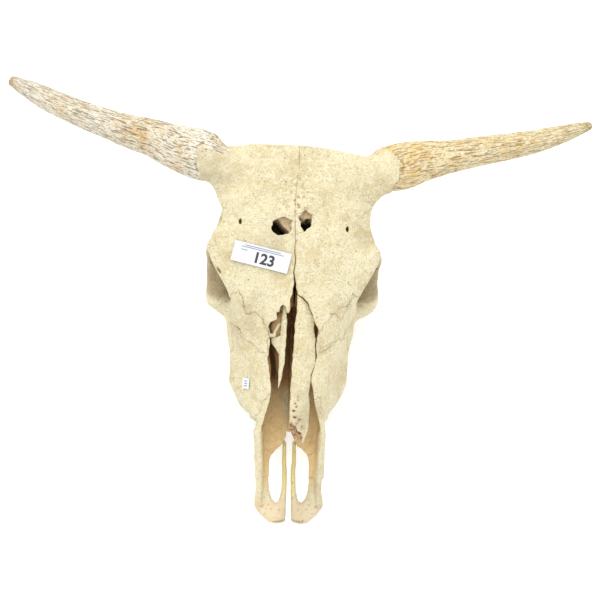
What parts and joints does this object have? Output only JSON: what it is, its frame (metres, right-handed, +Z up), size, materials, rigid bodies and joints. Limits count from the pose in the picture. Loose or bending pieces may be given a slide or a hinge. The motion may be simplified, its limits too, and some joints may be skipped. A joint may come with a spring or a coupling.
{
  "type": "cow skull",
  "caption": "Bleached cattle skull without lower jaw, with bare bony horn cores spreading sideways, open nose, cheek teeth and stuck-on paper labels.",
  "frame": {"origin": "centre of the bounding box at floor level, under the skull as it rests", "axes": "+X to the animal's left, along the spread of the horn cores; +Y from the muzzle to the poll; +Z up, out of the forehead"},
  "size_m": [0.706, 0.5248, 0.2139],
  "materials": {
    "bone": "dry bleached bone, matt with fine pores",
    "jaw_and_teeth": "dry bone with worn enamel",
    "inner_bone": "thin stained bone, matt",
    "horn_core": "deeply grooved porous bone, matt",
    "paper": "white printed label"
  },
  "bodies": {
    "root": {"frontal_left": "bone", "frontal_right": "bone", "lacrimal_left": "bone", "lacrimal_right": "bone", "cheekbone_left": "bone", "cheekbone_right": "bone", "temporal_left": "bone", "temporal_right": "bone", "maxilla_left": "jaw_and_teeth", "maxilla_right": "jaw_and_teeth", "incisive_left": "bone", "incisive_right": "bone", "nasal_left": "bone", "nasal_right": "bone", "palatine_left": "bone", "palatine_right": "bone", "occipital": "bone", "sphenoid": "bone", "vomer": "inner_bone", "concha_right": "inner_bone", "horn_core_left": "horn_core", "horn_core_right": "horn_core", "lot_label": "paper", "price_label": "paper"}
  },
  "joints": []
}
